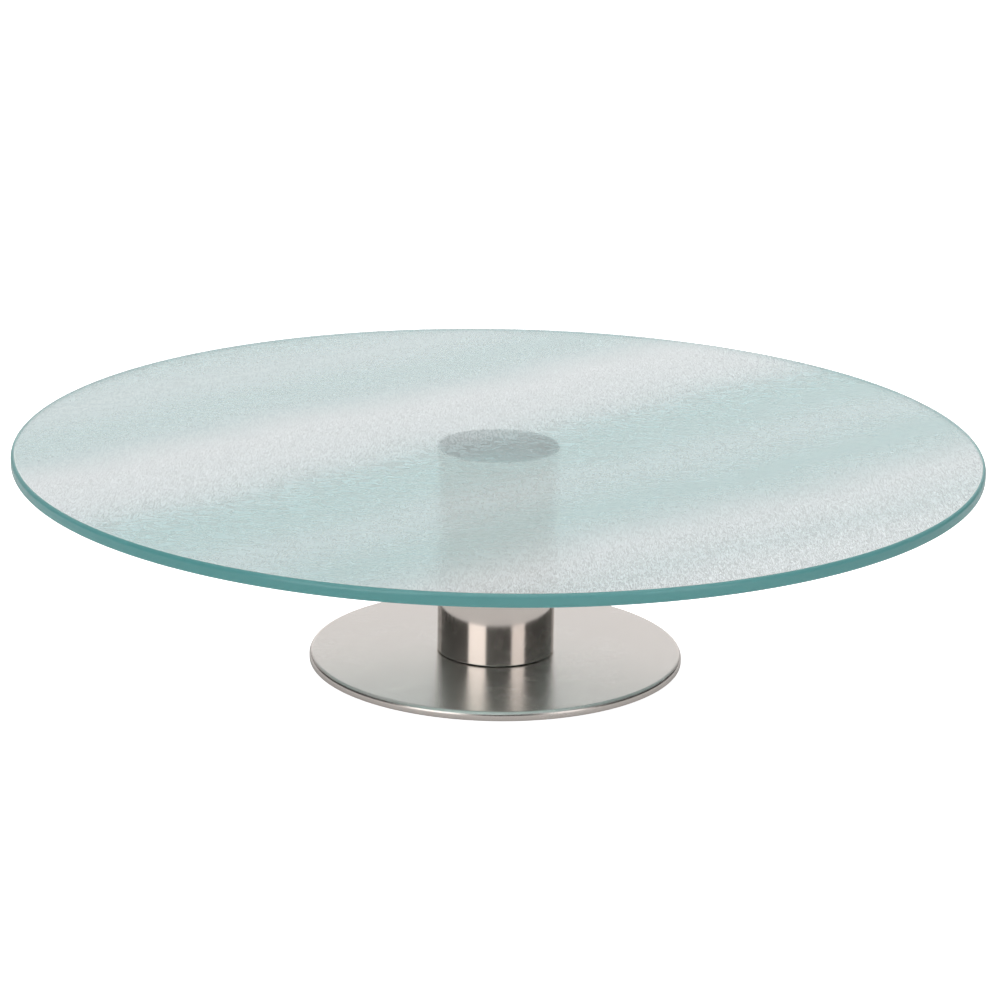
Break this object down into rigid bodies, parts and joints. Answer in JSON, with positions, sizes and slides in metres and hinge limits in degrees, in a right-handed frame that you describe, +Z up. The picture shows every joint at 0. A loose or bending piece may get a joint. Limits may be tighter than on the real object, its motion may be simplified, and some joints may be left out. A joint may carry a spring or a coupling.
{
  "type": "revolving cake stand",
  "caption": "Revolving cake stand: a round textured-glass plate on a slim steel column that turns on hidden ball bearings above a weighted round foot.",
  "frame": {"origin": "centre of the foot, on the table", "axes": "+Z up along the column, which is the turning axis; +Y away from the viewer, +X to the right"},
  "size_m": [0.3, 0.3, 0.071],
  "materials": {
    "clear_glass": "polished",
    "clear_adhesive": "gloss",
    "turned_aluminium": "turned",
    "satin_stainless": "satin",
    "bearing_steel": "ground",
    "shield_steel": "satin",
    "cage_nylon": "matte",
    "spacer_aluminium": "turned",
    "spring_steel": "phosphated",
    "turned_steel": "turned",
    "ballast_steel": "zinc plated",
    "zinc_screws": "zinc plated",
    "foam_rubber": "matte"
  },
  "bodies": {
    "foot": {"foot_shell": "satin_stainless", "ballast_disc": "ballast_steel", "anti_slip_ring": "foam_rubber", "foot_screws": "zinc_screws", "spindle": "turned_steel", "lower_bearing_inner_ring": "bearing_steel", "upper_bearing_inner_ring": "bearing_steel", "inner_spacer": "spacer_aluminium", "shaft_retaining_ring": "spring_steel"},
    "turntable": {"glass_plate": "clear_glass", "adhesive_film": "clear_adhesive", "hub": "turned_aluminium", "column_sleeve": "satin_stainless", "lower_bearing_outer_ring": "bearing_steel", "lower_bearing_lower_shield": "shield_steel", "lower_bearing_upper_shield": "shield_steel", "upper_bearing_outer_ring": "bearing_steel", "upper_bearing_lower_shield": "shield_steel", "upper_bearing_upper_shield": "shield_steel", "outer_spacer": "spacer_aluminium", "bore_retaining_ring": "spring_steel"},
    "lower_ball_set": {"lower_bearing_cage": "cage_nylon", "lower_bearing_ball_1": "bearing_steel", "lower_bearing_ball_2": "bearing_steel", "lower_bearing_ball_3": "bearing_steel", "lower_bearing_ball_4": "bearing_steel", "lower_bearing_ball_5": "bearing_steel", "lower_bearing_ball_6": "bearing_steel", "lower_bearing_ball_7": "bearing_steel"},
    "upper_ball_set": {"upper_bearing_cage": "cage_nylon", "upper_bearing_ball_1": "bearing_steel", "upper_bearing_ball_2": "bearing_steel", "upper_bearing_ball_3": "bearing_steel", "upper_bearing_ball_4": "bearing_steel", "upper_bearing_ball_5": "bearing_steel", "upper_bearing_ball_6": "bearing_steel", "upper_bearing_ball_7": "bearing_steel"}
  },
  "joints": [
    {"name": "turntable_spin", "type": "hinge", "parent": "foot", "child": "turntable", "pos_m": [0, 0, 0.044], "axis": [0, 0, 1], "continuous": true},
    {"name": "lower_cage_spin", "type": "hinge", "parent": "foot", "child": "lower_ball_set", "pos_m": [0, 0, 0.0355], "axis": [0, 0, 1], "continuous": true},
    {"name": "upper_cage_spin", "type": "hinge", "parent": "foot", "child": "upper_ball_set", "pos_m": [0, 0, 0.0525], "axis": [0, 0, 1], "continuous": true}
  ],
  "couplings": [
    {"joint": "lower_cage_spin", "follows": "turntable_spin", "ratio": 0.6323},
    {"joint": "upper_cage_spin", "follows": "turntable_spin", "ratio": 0.6323}
  ]
}
